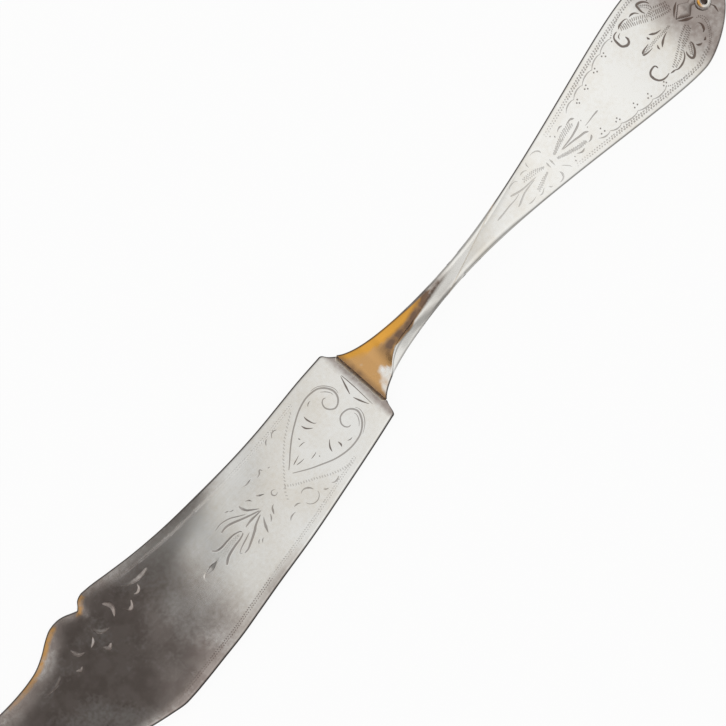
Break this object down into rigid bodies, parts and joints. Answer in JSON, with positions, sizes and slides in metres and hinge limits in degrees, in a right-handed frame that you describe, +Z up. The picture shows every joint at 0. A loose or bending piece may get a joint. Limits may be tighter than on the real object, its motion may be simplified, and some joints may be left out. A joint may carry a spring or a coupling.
{
  "type": "butter knife",
  "caption": "Silver-plated butter knife: notched plate blade soldered into a quarter-twisted neck, scarfed to a flat arched handle with bright-cut engraving and a riveted rosette.",
  "frame": {"origin": "middle of the knife's box in plan, on the table that it lies on", "axes": "+X along the knife towards the handle's end, +Y towards the blade's spine, +Z up out of the engraved face"},
  "size_m": [0.18, 0.0256, 0.0062],
  "materials": {
    "silver_plate": "satin silver plate, lightly tarnished",
    "worn_plate": "silver plate worn through to brass",
    "solder": "tarnished hard solder",
    "rivet_silver": "burnished"
  },
  "bodies": {
    "root": {"blade": "silver_plate", "twisted_neck": "worn_plate", "handle": "silver_plate", "root_solder": "solder", "scarf_solder": "solder", "terminal_rosette": "silver_plate", "rosette_rivet_spine": "rivet_silver", "rosette_rivet_edge": "rivet_silver"}
  },
  "joints": []
}
